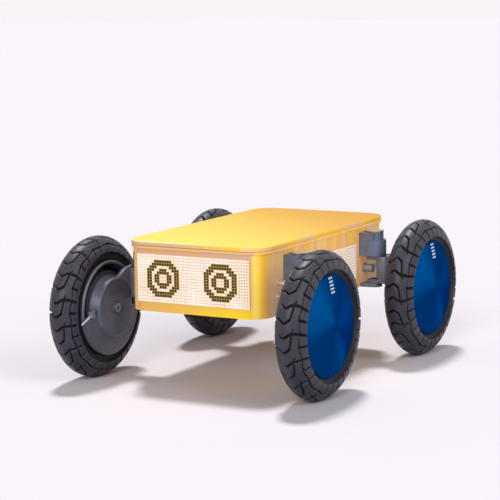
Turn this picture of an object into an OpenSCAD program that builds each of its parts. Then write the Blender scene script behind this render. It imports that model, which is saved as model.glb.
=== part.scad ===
// Four-wheel steering rover: a moulded body box with dot displays, and at each corner a hub-motor
// wheel that a knuckle carries on two upright kingpins. Front is -Y, the rover's own left is +X
// and up is +Z. Every corner part is drawn once, at the rear left, and mirrored to the others.

/* [Body] */
// Width of the body box
body_w = 272; // [250:1:300]
// Length of the body box
body_l = 490; // [460:1:540]
// Ground to the underside of the body
body_z = 134; // [124:1:140]
// Height of the body box with its lid
body_h = 124; // [118:1:134]
// Plan radius of the body's corners
body_r = 36; // [28:1:44]
// Wall of the body shell
wall_t = 5; // [4:0.5:7]
// Floor of the body shell
floor_t = 4; // [3:0.5:6]
// Thickness of the lid
lid_t = 8; // [6:0.5:10]
// Rounding of the lid's top edge
lid_edge = 3; // [1.5:0.5:4]
// Thickness of the seal between lid and shell
seal_t = 0.8; // [0.5:0.1:1.5]
// Height of the rim that runs round the shell's mouth
rim_band = 4.5; // [3:0.5:6]
// How far that rim stands out from the walls
rim_out = 3.5; // [2:0.5:5]

/* [Displays] */
// Pitch of the dots
dot_pitch = 5; // [4.6:0.1:5.2]
// Groove between two rows of dots
dot_gap = 1.5; // [1:0.1:2]
// Columns of the front display
front_cols = 45; // [35:1:46]
// Rows of the front display
front_rows = 17; // [11:1:18]
// Columns of a side display
side_cols = 46; // [30:1:48]
// Rows of a side display
side_rows = 13; // [9:1:14]
// Top of the front display below the lid
front_drop = 15; // [10:1:16]
// Top of a side display below the lid
side_drop = 33.5; // [28:0.5:38]
// Thickness of a display board
board_t = 2.5; // [2:0.1:3.5]

/* [Wheels] */
// Outer diameter of the tyres
tyre_d = 255; // [249:1:258]
// Width of the tyres
tyre_w = 58; // [54:1:62]
// Diameter of the rims where the tyres sit
rim_d = 164; // [160:1:168]
// Distance from the body's side to a wheel's centre plane
wheel_out = 89; // [86:1:100]
// Distance between the front and rear axles
wheelbase = 420; // [410:1:440]
// Tread pitches round a tyre
tread_n = 16; // [12:1:17]
// Depth of the tread grooves
tread_depth = 4.5; // [3:0.5:6]
// Width of the wide tread grooves
groove_w = 3; // [2:0.25:4]
// Diameter of the wheel covers
cover_d = 176; // [172:1:178]
// Rise of a wheel cover's dome
cover_rise = 10; // [4:1:12]
// Diameter of the axles
axle_d = 16; // [14:1:18]

/* [Steering] */
// Distance of a steering axis from the body's side
steer_out = 22.5; // [21:0.5:25]
// Distance between the front and rear steering axes
steer_span = 296; // [286:1:304]
// Outer diameter of a housing's upright barrel
housing_d = 44; // [40:1:46]
// Width of a housing's block
block_w = 41; // [36:1:43]
// Diameter of a housing's upper barrel
neck_d = 34; // [30:1:36]
// Underside of the housings above the body's underside
housing_z = 59; // [56:1:62]
// Height of the housings' blocks
housing_h = 43.5; // [40:0.5:46]
// Drop from a block's top to the shoulder of its barrel
shoulder_drop = 13.5; // [10:0.5:16]
// Rise of the upper barrel above its block
neck_rise = 1.5; // [1:0.5:4]
// Thickness of a cap
cap_t = 2; // [1.5:0.5:3]
// Diameter of the kingpins
kingpin_d = 12; // [10:0.5:14]
// Thickness of a lower arm
arm_t = 7.5; // [6:0.5:9]
// Diameter of a knuckle's upright post
post_d = 29; // [27:0.5:31]
// Thickness of a knuckle's ears
ear_t = 7; // [6:0.5:8]
// Diameter of a cable gland
gland_d = 14.6; // [12:0.2:16]

/* [Motors] */
// Diameter of a motor cover's flat face
face_d = 104; // [96:1:108]
// Diameter of a motor cover's skirt
skirt_d = 120; // [112:1:126]
// How far a motor cover stands out of its wheel
cover_out = 14; // [11:1:16]
// Diameter of a motor's stator
stator_d = 132; // [120:1:134]

/* [Hidden] */
run_gap = 0.05;     // radial clearance of a shaft that turns in a bore
seat_gap = 0.3;     // clearance between pieces of different bodies
air_gap = 2;        // clearance round what turns inside a wheel
tyre_gap = 3.5;     // clearance between a knuckle's post and its tyre
$fn = 64;

// body
side_x = body_w / 2;
end_y = body_l / 2;
body_top = body_z + body_h;
lid_z = body_top - lid_t;
shell_top = lid_z - seal_t;
board_back = side_x - board_t;
dot_w = dot_pitch - dot_gap;
front_w = front_cols * dot_pitch - dot_gap;
front_h = front_rows * dot_pitch - dot_gap;
side_w = side_cols * dot_pitch - dot_gap;
side_h = side_rows * dot_pitch - dot_gap;
front_z = lid_z - front_drop - front_h;
side_z = lid_z - side_drop - side_h;
frame_t = 3;                       // metal of the inner frame
frame_h = 70;                      // height of the inner frame's sides
deck_over = 30;                    // frame's plate beyond the steering axes
frame_z = body_z + floor_t;
frame_x = side_x - wall_t;
pack_z = frame_z + frame_t;
pack_h = 55;                       // battery pack's height
deck_z = pack_z + pack_h;
deck_t = 2;                        // circuit board
base_t = 3;                        // cover under the body
base_in = 45;                      // cover's edges to the body's sides and ends
base_end_in = 75;
base_w = body_w - 2 * base_in;
base_l = body_l - 2 * base_end_in;
pack_in = 16;                      // battery pack's sides and ends to the cover's edges
pack_end_in = 45;
pack_w = base_w - 2 * pack_in;
pack_l = base_l - 2 * pack_end_in;
screw_d = 5;
screw_head = 9;
screw_in = 12;                     // screws to the edge of the base cover
port_d = 22;                       // charging port at the back
port_up = 40;
port_z = body_z + port_up;

// wheels, seen from the body: wheel_x is a wheel's centre plane
wheel_x = side_x + wheel_out;
axle_y = wheelbase / 2;
axle_z = tyre_d / 2;
tyre_in = wheel_x - tyre_w / 2;
tyre_out = wheel_x + tyre_w / 2;
bead_gap = 9;                      // ring groove between a cover and its tyre
bead_d = cover_d + 2 * bead_gap;
well_d = bead_d + 2;               // ring groove in the inner sidewall, and its depth well_t
lip_r = 3;                         // bead round the rim's inner edge
lip_d = rim_d + 2 * lip_r;
drum_d = rim_d - 6;                // inside of the rim
rim_in = tyre_in + 3;              // inner and outer ends of the rim's drum
cover_in = 7;                      // edge of a cover's dome behind the tyre's side
cover_wall = 2;                    // height of that edge
cover_x = tyre_out - cover_in;
rim_end = cover_x - cover_wall;
well_t = rim_in - tyre_in + lip_r;
web_t = 6;                         // rim's disc
web_x = rim_end - web_t;
cover_ball = (pow(cover_d / 2, 2) + pow(cover_rise, 2)) / (2 * cover_rise);
bearing_d = axle_d + 24;
bearing_t = 9;
hub_d = bearing_d + 14;
hub_x = web_x - bearing_t;

// motor
skirt_x = tyre_in + 2;             // back of the motor cover
face_x = skirt_x - cover_out - 2;
skirt_deep = 5;                    // open space behind the cover's skirt
stator_x = skirt_x + skirt_deep;
stator_end = hub_x - air_gap;
boss_d = axle_d + 22;
axle_end = rim_end + 0.5;
nut_d = 17;
nut_t = 3;
plate_over = 1;                    // backing plate below the motor cover: its edge past the rim's
plate_d = lip_d + 2 * plate_over;
plate_t = 3;
plate_drop = 5;                    // top edge of the plate below the axle
lip_gap = 1;                       // clearance to the rim's edge
plate_x = rim_in - lip_r - lip_gap - plate_t;
fitting_w = 10;
fitting_l = 10;
fitting_back = 5;                  // its front behind the cover's face
rod_d = 3;
rod_l = 28;
fitting_turn = -8;                 // its fall below level, and the rod's, in degrees
rod_turn = -32;

// steering
steer_x = side_x + steer_out;
steer_y = steer_span / 2;
post_x = tyre_in - tyre_gap - post_d / 2;
block_over = 8;                    // block beyond the steering axis
pin_deep = 24;                     // kingpin inside the housing
arm_z = body_z;
low_ear_z = arm_z + arm_t + seat_gap;
house_z = body_z + housing_z;
house_top = house_z + housing_h;
barrel_top = house_top - shoulder_drop;
high_ear_z = house_z - seat_gap - ear_t;
arm_r = 14;                        // round end of a lower arm
arm_w = 34;                        // width of an arm at the body
gland_up = 34;
gland_z = body_z + gland_up;
gland_end = steer_x - 3;
stub_d = 9;                        // bolts beside a housing
stub_out = 16;
stub_ahead = 42;                   // their place beyond the steering axis and up the body
stub_up_high = 56.5;
stub_up_low = 33;
stub_y = steer_y + stub_ahead;
stub_high = body_z + stub_up_high;
stub_low = body_z + stub_up_low;

front_left = [1, -1];
front_right = [-1, -1];
rear_left = [1, 1];
rear_right = [-1, 1];

// ---- placing ----

// mirrors the rear left corner's parts to another corner
module at_corner(corner) {
    mirror([corner.x < 0 ? 1 : 0, 0, 0])
        mirror([0, corner.y < 0 ? 1 : 0, 0])
            children();
}

// puts what is drawn round Z on a wheel's axle, Z pointing outwards from the robot's middle
module on_axle(x) {
    translate([x, axle_y, axle_z])
        rotate([0, 90, 0])
            children();
}

// ---- plain shapes ----

module rounded_plan(w, l, r) {
    square([w - 2 * r, l], center = true);
    square([w, l - 2 * r], center = true);
    for (x = [-1, 1], y = [-1, 1])
        translate([x * (w / 2 - r), y * (l / 2 - r)])
            circle(r);
}

module rounded_plate(w, l, r, t) {
    linear_extrude(t)
        rounded_plan(w, l, r);
}

module ring(outer_d, inner_d, t) {
    difference() {
        cylinder(d = outer_d, h = t);
        translate([0, 0, -1])
            cylinder(d = inner_d, h = t + 2);
    }
}

// ---- body ----

module body_shell() {
    color("#e0a860")
        difference() {
            union() {
                translate([0, 0, body_z])
                    rounded_plate(body_w, body_l, body_r, shell_top - body_z);
                translate([0, 0, shell_top - rim_band])
                    rounded_plate(body_w + 2 * rim_out, body_l + 2 * rim_out,
                                  body_r + rim_out, rim_band);
            }
            translate([0, 0, frame_z])
                rounded_plate(body_w - 2 * wall_t, body_l - 2 * wall_t,
                              body_r - wall_t, body_h);
            translate([-front_w / 2, -end_y - 1, front_z])
                cube([front_w, board_t + 1, front_h]);
            for (x = [-side_x - 1, board_back])
                translate([x, -side_w / 2, side_z])
                    cube([board_t + 1, side_w, side_h]);
            translate([0, 0, body_z - 1])
                rounded_plate(base_w, base_l, body_r / 2, base_t + 1);
            base_holes(screw_d, body_z - 1);
            translate([0, end_y - wall_t - 1, port_z])
                rotate([-90, 0, 0])
                    cylinder(d = port_d, h = wall_t + 2);
        }
}

// a plate whose top edge is rounded: the flats, four bars and four quarter rings
module lid() {
    flat_w = body_w + 2 * rim_out;
    flat_l = body_l + 2 * rim_out;
    r = body_r + rim_out;
    color("#f6c22f")
        translate([0, 0, lid_z]) {
            rounded_plate(flat_w, flat_l, r, lid_t - lid_edge);
            rounded_plate(flat_w - 2 * lid_edge, flat_l - 2 * lid_edge, r - lid_edge, lid_t);
            translate([0, 0, lid_t - lid_edge]) {
                for (x = [-1, 1])
                    translate([x * (flat_w / 2 - lid_edge), 0, 0])
                        rotate([90, 0, 0])
                            cylinder(r = lid_edge, h = flat_l - 2 * r, center = true);
                for (y = [-1, 1])
                    translate([0, y * (flat_l / 2 - lid_edge), 0])
                        rotate([0, 90, 0])
                            cylinder(r = lid_edge, h = flat_w - 2 * r, center = true);
                for (x = [-1, 1], y = [-1, 1])
                    translate([x * (flat_w / 2 - r), y * (flat_l / 2 - r), 0])
                        rotate_extrude()
                            translate([r - lid_edge, 0])
                                intersection() {
                                    circle(lid_edge);
                                    translate([0, -lid_edge])
                                        square([lid_edge, 2 * lid_edge]);
                                }
            }
        }
}

module lid_seal() {
    color("#3a2a18")
        translate([0, 0, shell_top])
            difference() {
                rounded_plate(body_w - 2, body_l - 2, body_r - 1, seal_t);
                translate([0, 0, -1])
                    rounded_plate(body_w - 2 * wall_t, body_l - 2 * wall_t,
                                  body_r - wall_t, seal_t + 2);
            }
}

// a board drawn in X and Z, facing -Y, with a raised light strip behind each row of dots
module display_board(w, h, rows) {
    back_t = board_t - 0.8;
    translate([-w / 2, -back_t, 0])
        cube([w, back_t, h]);
    for (i = [0 : rows - 1])
        translate([-w / 2, -board_t, i * dot_pitch])
            cube([w, board_t, dot_w]);
}

module front_display() {
    color("#fff4e0")
        translate([0, -end_y + board_t, front_z])
            display_board(front_w, front_h, front_rows);
}

module side_display(side) {
    color("#fff4e0")
        translate([side * board_back, 0, side_z])
            rotate([0, 0, side * 90])
                display_board(side_w, side_h, side_rows);
}

module inner_frame() {
    plate_y = 2 * (steer_y + deck_over);
    color("silver")
        translate([0, 0, frame_z]) {
            translate([-frame_x, -plate_y / 2, 0])
                cube([2 * frame_x, plate_y, frame_t]);
            for (x = [-frame_x, frame_x - frame_t])
                translate([x, -plate_y / 2, 0])
                    cube([frame_t, plate_y, frame_h]);
        }
}

module battery_pack() {
    color("#2c2c30")
        translate([0, 0, pack_z])
            rounded_plate(pack_w, pack_l, 8, pack_h);
}

module control_board() {
    chip = 24;
    color("#1d5c3a")
        translate([0, 0, deck_z]) {
            translate([-pack_w / 2, -pack_l / 4, 0])
                cube([pack_w, pack_l / 2, deck_t]);
            for (x = [-1, 1])
                translate([x * pack_w / 4 - chip / 2, -chip / 2, 0])
                    cube([chip, chip, deck_t + 6]);
        }
}

module base_holes(d, z) {
    for (x = [-1, 1], y = [-1, 0, 1])
        translate([x * (base_w / 2 - screw_in), y * (base_l / 2 - screw_in), z])
            cylinder(d = d, h = floor_t + 2);
}

module base_cover() {
    color("#c98f4a")
        translate([0, 0, body_z])
            difference() {
                rounded_plate(base_w - 0.4, base_l - 0.4, body_r / 2, base_t);
                translate([0, 0, -body_z])
                    base_holes(screw_d, body_z - 1);
            }
}

module base_screws() {
    color("#8a8a90")
        for (x = [-1, 1], y = [-1, 0, 1])
            translate([x * (base_w / 2 - screw_in), y * (base_l / 2 - screw_in), body_z])
                cylinder(d = screw_d, h = floor_t);
}

module charge_port() {
    color("#2c2c30")
        translate([0, end_y - wall_t, port_z])
            rotate([-90, 0, 0])
                difference() {
                    cylinder(d = port_d, h = wall_t);
                    translate([0, 0, wall_t - 3])
                        cylinder(d = port_d - 8, h = 4);
                }
}

// two bright bolts beside each housing
module side_bolts() {
    color("#e8e8ee")
        for (corner = [front_left, front_right, rear_left, rear_right])
            at_corner(corner)
                for (z = [stub_low, stub_high])
                    translate([side_x, stub_y, z])
                        rotate([0, 90, 0])
                            cylinder(d = stub_d, h = stub_out);
}

module cable_glands() {
    color("#3c3c44")
        for (corner = [front_left, front_right, rear_left, rear_right])
            at_corner(corner)
                translate([side_x, steer_y, gland_z])
                    rotate([0, 90, 0]) {
                        cylinder(d = gland_d + 3, h = 4);
                        cylinder(d = gland_d, h = gland_end - side_x);
                    }
}

// ---- steering, fixed to the body ----

// the block stands on the body's side, and its barrel wraps the upper kingpin
module housing(corner) {
    color("#6f6f7b")
        at_corner(corner)
            difference() {
                union() {
                    translate([side_x, steer_y - block_w / 2, house_z])
                        cube([steer_out + block_over, block_w, housing_h]);
                    translate([steer_x, steer_y, house_z])
                        cylinder(d = housing_d, h = barrel_top - house_z);
                    translate([steer_x, steer_y, house_z])
                        cylinder(d = neck_d, h = housing_h + neck_rise);
                }
                translate([steer_x, steer_y, house_z - 1])
                    cylinder(d = kingpin_d + 2 * run_gap, h = pin_deep + 2);
            }
}

module cap(corner) {
    color("#b39a78")
        at_corner(corner)
            translate([steer_x, steer_y, house_top + neck_rise])
                cylinder(d = neck_d + 1, h = cap_t);
}

module lower_arm(corner) {
    reach = steer_x - side_x;
    color("#5a5a64")
        at_corner(corner)
            difference() {
                translate([side_x, steer_y, arm_z])
                    linear_extrude(arm_t) {
                        translate([reach, 0])
                            circle(arm_r);
                        polygon([[0, -arm_w / 2], [reach, -arm_r], [reach, arm_r],
                                 [0, arm_w / 2]]);
                    }
                translate([steer_x, steer_y, arm_z - 1])
                    cylinder(d = kingpin_d + 2 * run_gap, h = arm_t + 2);
            }
}

// ---- knuckle, which turns on the kingpins ----

// an ear from the steering axis to the post
module ear(z, r) {
    translate([0, steer_y, z])
        linear_extrude(ear_t) {
            translate([steer_x, 0])
                circle(r);
            translate([steer_x, -r])
                square([post_x - steer_x, 2 * r]);
            translate([post_x, 0])
                circle(r);
        }
}

// a small block on the backing plate with a short rod that points to the rim
module cover_fitting() {
    on_axle(face_x + fitting_back)
        rotate(fitting_turn) {
            translate([-fitting_w / 2, skirt_d / 2 + 2, 0])
                cube([fitting_w, fitting_l, plate_x - face_x - fitting_back + 1]);
            translate([0, skirt_d / 2 + fitting_l - 2, rod_d / 2 + 0.5])
                rotate([-90, 0, rod_turn])
                    cylinder(d = rod_d, h = rod_l);
        }
}

// the post's ears, the arm down to the motor and the motor's round cover
module knuckle(corner) {
    arm_from = face_x + 2;
    color("#4c4c54")
        at_corner(corner)
            difference() {
                union() {
                    ear(low_ear_z, post_d / 2 - 1);
                    ear(high_ear_z, post_d / 2);
                    translate([post_x, steer_y, low_ear_z])
                        cylinder(d = post_d, h = high_ear_z + ear_t - low_ear_z);
                    hull() {
                        translate([arm_from, steer_y, low_ear_z])
                            cube([tyre_in - tyre_gap - arm_from, 2, high_ear_z + ear_t - low_ear_z]);
                        translate([arm_from, axle_y - 20, axle_z + face_d / 2 - 22])
                            cube([tyre_in - tyre_gap - arm_from, 20, 18]);
                    }
                    translate([arm_from, steer_y, low_ear_z])
                        cube([tyre_in - tyre_gap - arm_from, axle_y - steer_y, ear_t * 3]);
                    on_axle(face_x)
                        cylinder(d1 = face_d, d2 = skirt_d, h = skirt_x - face_x);
                    on_axle(skirt_x)
                        cylinder(d = skirt_d, h = stator_x - skirt_x);
                    on_axle(stator_x)
                        cylinder(d = boss_d, h = stator_end - stator_x);
                    intersection() {
                        on_axle(plate_x)
                            cylinder(d = plate_d, h = plate_t);
                        translate([plate_x - 1, axle_y - plate_d, axle_z - plate_d - plate_drop])
                            cube([plate_t + 2, 2 * plate_d, plate_d]);
                    }
                    cover_fitting();
                }
                for (z = [low_ear_z - 1, high_ear_z - 1])
                    translate([steer_x, steer_y, z])
                        cylinder(d = kingpin_d, h = ear_t + 2);
                on_axle(face_x - 1)
                    cylinder(d = axle_d, h = stator_end - face_x + 2);
            }
}

module kingpins(corner) {
    color("#a8a8b0")
        at_corner(corner) {
            translate([steer_x, steer_y, arm_z + 0.5])
                cylinder(d = kingpin_d, h = low_ear_z + ear_t - arm_z - 0.5);
            translate([steer_x, steer_y, high_ear_z])
                cylinder(d = kingpin_d, h = ear_t + seat_gap + pin_deep);
        }
}

module axle(corner) {
    color("#a8a8b0")
        at_corner(corner) {
            on_axle(face_x)
                cylinder(d = axle_d, h = axle_end - face_x - 1);
            on_axle(face_x - nut_t)
                ring(nut_d, nut_d - 8, nut_t);
        }
}

module stator(corner) {
    color("#b87840")
        at_corner(corner)
            on_axle(stator_x)
                ring(stator_d, boss_d, stator_end - stator_x);
}

// ---- wheel ----

// a tyre's section at the axle's side: a round tread over straight sidewalls; x is outwards
module tyre_section() {
    half = tyre_w / 2;
    round_at = tyre_d / 2 - half;
    difference() {
        union() {
            translate([round_at, 0])
                circle(half, $fn = 96);
            translate([rim_d / 2, -half])
                square([round_at - rim_d / 2, tyre_w]);
        }
        translate([0, -half - 1])
            square([rim_d / 2, tyre_w + 2]);
        translate([rim_d / 2 - 1, -half - 1])
            square([(well_d - rim_d) / 2 + 1, well_t + 1]);
        translate([rim_d / 2 - 1, half - (tyre_out - rim_end)])
            square([(bead_d - rim_d) / 2 + 1, tyre_out - rim_end + 1]);
    }
}

// the V at the middle of the tread, drawn flat: x runs round the tyre, y is outwards
module tread_v() {
    reach = tyre_w * 0.22;
    rise = tyre_w * 0.12;
    translate([tyre_d / 2 - tread_depth, 0, 0])
        rotate([90, 0, 90])
            linear_extrude(tread_depth + 1)
                polygon([[0, 0], [rise, reach], [rise + groove_w * 0.7, reach], [groove_w * 0.7, 0],
                         [rise + groove_w * 0.7, -reach], [rise, -reach]]);
}

// a groove cut square into one shoulder, at an angle round the tyre's section
module shoulder_groove(side, angle, depth, ahead, lean) {
    half = tyre_w / 2;
    translate([tyre_d / 2 - half, ahead, 0])
        rotate([0, -side * angle, 0])
            rotate([lean * side, 0, 0])
                translate([half - depth, -groove_w / 2, -half])
                    cube([depth + 2, groove_w, tyre_w]);
}

// one pitch: two Vs, and on each shoulder a long groove from a V and a short one between
module tread_pitch() {
    for (side = [-1, 1]) {
        turn = side > 0 ? 0 : 180 / tread_n;
        rotate(turn) {
            tread_v();
            shoulder_groove(side, 45, tread_depth + 0.5, tyre_w * 0.12, -6);
        }
        rotate(turn + 180 / tread_n)
            shoulder_groove(side, 32, tread_depth - 1, tyre_w * 0.12, -6);
    }
}

module tyre(corner) {
    color("#3c3c42")
        at_corner(corner)
            on_axle(wheel_x)
                difference() {
                    rotate_extrude()
                        tyre_section();
                    for (i = [0 : tread_n - 1])
                        rotate(i * 360 / tread_n)
                            tread_pitch();
                }
}

module rim(corner) {
    color("#8c8c96")
        at_corner(corner) {
            on_axle(rim_in)
                ring(rim_d, drum_d, rim_end - rim_in);
            on_axle(web_x)
                ring(drum_d + 1, bearing_d, web_t);
            on_axle(hub_x)
                ring(hub_d, bearing_d, rim_end - hub_x);
            on_axle(rim_in)
                rotate_extrude()
                    translate([lip_d / 2 - lip_r, 0])
                        circle(lip_r);
        }
}

module wheel_cover(corner) {
    color("#0a4f96")
        at_corner(corner)
            on_axle(rim_end)
                rotate_extrude()
                    difference() {
                        intersection() {
                            square([cover_d / 2, cover_wall + cover_rise]);
                            translate([0, cover_wall + cover_rise - cover_ball])
                                circle(cover_ball, $fn = 720);
                        }
                        translate([hub_d / 2, -1])
                            square([(drum_d - hub_d) / 2, cover_wall + 1]);
                    }
}

module bearings(corner) {
    color("#d0d0d6")
        at_corner(corner)
            for (x = [hub_x, rim_end - bearing_t + 2])
                on_axle(x)
                    ring(bearing_d, axle_d + 2 * run_gap, bearing_t - 2);
}

body_shell();
lid();
lid_seal();
front_display();
side_display(1);  // left_display
side_display(-1);  // right_display
inner_frame();
battery_pack();
control_board();
base_cover();
base_screws();
charge_port();
side_bolts();
cable_glands();
housing(front_left);  // housing_fl
housing(front_right);  // housing_fr
housing(rear_left);  // housing_rl
housing(rear_right);  // housing_rr
cap(front_left);  // cap_fl
cap(front_right);  // cap_fr
cap(rear_left);  // cap_rl
cap(rear_right);  // cap_rr
lower_arm(front_left);  // lower_arm_fl
lower_arm(front_right);  // lower_arm_fr
lower_arm(rear_left);  // lower_arm_rl
lower_arm(rear_right);  // lower_arm_rr
knuckle(front_left);  // knuckle_fl
knuckle(front_right);  // knuckle_fr
knuckle(rear_left);  // knuckle_rl
knuckle(rear_right);  // knuckle_rr
kingpins(front_left);  // kingpins_fl
kingpins(front_right);  // kingpins_fr
kingpins(rear_left);  // kingpins_rl
kingpins(rear_right);  // kingpins_rr
axle(front_left);  // axle_fl
axle(front_right);  // axle_fr
axle(rear_left);  // axle_rl
axle(rear_right);  // axle_rr
stator(front_left);  // stator_fl
stator(front_right);  // stator_fr
stator(rear_left);  // stator_rl
stator(rear_right);  // stator_rr
tyre(front_left);  // tyre_fl
tyre(front_right);  // tyre_fr
tyre(rear_left);  // tyre_rl
tyre(rear_right);  // tyre_rr
rim(front_left);  // rim_fl
rim(front_right);  // rim_fr
rim(rear_left);  // rim_rl
rim(rear_right);  // rim_rr
wheel_cover(front_left);  // wheel_cover_fl
wheel_cover(front_right);  // wheel_cover_fr
wheel_cover(rear_left);  // wheel_cover_rl
wheel_cover(rear_right);  // wheel_cover_rr
bearings(front_left);  // bearings_fl
bearings(front_right);  // bearings_fr
bearings(rear_left);  // bearings_rl
bearings(rear_right);  // bearings_rr
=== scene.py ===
import math

import bmesh
import bpy
import numpy as np
from mathutils import Matrix, Vector


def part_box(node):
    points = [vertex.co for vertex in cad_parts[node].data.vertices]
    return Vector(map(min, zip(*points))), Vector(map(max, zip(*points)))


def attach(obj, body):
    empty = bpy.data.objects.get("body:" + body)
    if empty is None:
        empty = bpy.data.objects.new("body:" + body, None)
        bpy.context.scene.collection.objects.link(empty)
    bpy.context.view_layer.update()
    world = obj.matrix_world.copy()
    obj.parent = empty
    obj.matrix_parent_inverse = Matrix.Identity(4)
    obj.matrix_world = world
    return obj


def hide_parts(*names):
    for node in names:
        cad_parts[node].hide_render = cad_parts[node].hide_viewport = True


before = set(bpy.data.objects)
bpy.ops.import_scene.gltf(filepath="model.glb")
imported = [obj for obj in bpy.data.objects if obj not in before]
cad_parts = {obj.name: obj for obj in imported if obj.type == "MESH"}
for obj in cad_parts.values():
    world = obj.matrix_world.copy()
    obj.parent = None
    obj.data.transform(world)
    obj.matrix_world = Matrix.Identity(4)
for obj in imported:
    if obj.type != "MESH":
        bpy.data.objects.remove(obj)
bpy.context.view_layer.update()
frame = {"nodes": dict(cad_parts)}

# Looks of a four-wheel steering rover. Every size below is in metres unless it says otherwise, and
# places come from the frame's nodes. Front is -Y, the rover's own left is +X.

nodes = frame["nodes"]
CORNERS = {"fl": (1, -1), "fr": (-1, -1), "rl": (1, 1), "rr": (-1, 1)}


def near(node, side):
    """A node's lowest (0) or highest (1) corner."""
    return Vector(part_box(node)[side])


# ---- places taken from the frame ----

shell_low, shell_high = near("body_shell", 0), near("body_shell", 1)
lid_low, lid_high = near("lid", 0), near("lid", 1)
front_low = near("front_display", 0)
side_low = near("left_display", 0)
tyre_low, tyre_high = near("tyre_rl", 0), near("tyre_rl", 1)
RIM_OUT = 0.0035                       # rim band and lid beyond the walls
CORNER_R = 0.036
half_w = shell_high.x - RIM_OUT
half_l = shell_high.y - RIM_OUT
wheel_x = (tyre_low.x + tyre_high.x) / 2
axle_y = (tyre_low.y + tyre_high.y) / 2
axle_z = (tyre_low.z + tyre_high.z) / 2
tyre_r = (tyre_high.z - tyre_low.z) / 2
tyre_half = (tyre_high.x - tyre_low.x) / 2


# ---- shader helpers ----

def paint(text):
    """A colour written as six hex digits, as the linear value that a socket takes."""
    channels = [int(text[i:i + 2], 16) / 255 for i in (0, 2, 4)]
    linear = [c / 12.92 if c <= 0.04045 else ((c + 0.055) / 1.055) ** 2.4 for c in channels]
    return linear + [1.0]


class Signal:
    """A number, colour or shader that comes out of a node. Operators add the Math nodes."""

    def __init__(self, nodes, socket):
        self.nodes = nodes
        self.socket = socket

    def _math(self, operation, *values):
        return self.nodes.add("ShaderNodeMath", {"operation": operation}, *values)

    def __add__(self, other):
        return self._math("ADD", self, other)

    def __radd__(self, other):
        return self._math("ADD", other, self)

    def __sub__(self, other):
        return self._math("SUBTRACT", self, other)

    def __rsub__(self, other):
        return self._math("SUBTRACT", other, self)

    def __mul__(self, other):
        return self._math("MULTIPLY", self, other)

    def __rmul__(self, other):
        return self._math("MULTIPLY", other, self)

    def __truediv__(self, other):
        return self._math("DIVIDE", self, other)

    def __rtruediv__(self, other):
        return self._math("DIVIDE", other, self)

    def __pow__(self, other):
        return self._math("POWER", self, other)

    def __rpow__(self, other):
        return self._math("POWER", other, self)

    def __abs__(self):
        return self._math("ABSOLUTE", self)

    def sine(self):
        return self._math("SINE", self)

    def above(self, other):
        """The larger of the two."""
        return self._math("MAXIMUM", self, other)

    def step(self, low, high):
        """0 below low and 1 above high, smooth between them."""
        settings = {"interpolation_type": "SMOOTHSTEP"}
        return self.nodes.add("ShaderNodeMapRange", settings, self, low, high, 0.0, 1.0)


class Nodes:
    """A node tree with one method that adds to it."""

    def __init__(self, tree):
        self.tree = tree

    def add(self, kind, settings, *values, out=None, **named):
        """Adds a node, sets it up, feeds its sockets and returns the output as a Signal."""
        node = self.tree.nodes.new(kind)
        for key, value in settings.items():
            setattr(node, key, value)
        open_inputs = [socket for socket in node.inputs if socket.enabled]
        for socket, value in zip(open_inputs, values):
            self._feed(socket, value)
        for key, value in named.items():
            self._feed(next(s for s in open_inputs if s.name == key.replace("_", " ")), value)
        shown = [socket for socket in node.outputs if socket.enabled]
        if out is None:
            return Signal(self, shown[0])
        return Signal(self, next(s for s in shown if s.name == out))

    def _feed(self, socket, value):
        if isinstance(value, Signal):
            self.tree.links.new(value.socket, socket)
        elif value is not None:
            socket.default_value = value

    def feed_world(self, shader):
        """Makes a shader the surroundings of the scene."""
        self._feed(self.tree.nodes["World Output"].inputs["Surface"], shader)


class Finish(Nodes):
    """A procedural material round one Principled shader."""

    def __init__(self, name, **constants):
        self.material = bpy.data.materials.new(name)
        self.material.use_nodes = True
        super().__init__(self.material.node_tree)
        self.shader = self.tree.nodes["Principled BSDF"]
        for key, value in constants.items():
            socket = key.replace("_", " ").title().replace("Ior", "IOR")
            self.shader.inputs[socket].default_value = value

    def where(self):
        """Where a surface point lies in its own object, in metres."""
        return self.add("ShaderNodeTexCoord", {}, out="Object")

    def place(self):
        """The same place, then its x, y and z apart."""
        at = self.where()
        parts = self.add("ShaderNodeSeparateXYZ", {}, at).socket.node.outputs
        return at, Signal(self, parts["X"]), Signal(self, parts["Y"]), Signal(self, parts["Z"])

    def noise(self, at, scale, detail=3.0, stretch=None):
        """Noise of a feature size of about 1 / scale metres, from 0 to 1."""
        if stretch:
            at = self.add("ShaderNodeMapping", {}, at, Scale=stretch)
        return self.add("ShaderNodeTexNoise", {}, at, Scale=scale, Detail=detail)

    def mix(self, factor, first, second):
        """A colour between two colours."""
        return self.add("ShaderNodeMix", {"data_type": "RGBA"}, factor, first, second)

    def bump(self, height, strength, distance):
        """Fine relief of a height times a distance in metres."""
        return self.add("ShaderNodeBump", {}, Strength=strength, Distance=distance, Height=height)

    def feed(self, **inputs):
        """Drives the shader's own sockets with what varies and hands over the material."""
        for key, value in inputs.items():
            self._feed(self.shader.inputs[key.replace("_", " ")], value)
        return self.material


def dress(obj, *materials):
    obj.data.materials.clear()
    for material in materials:
        obj.data.materials.append(material)


# ---- finishes ----

BLACK = paint("000000")


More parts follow.
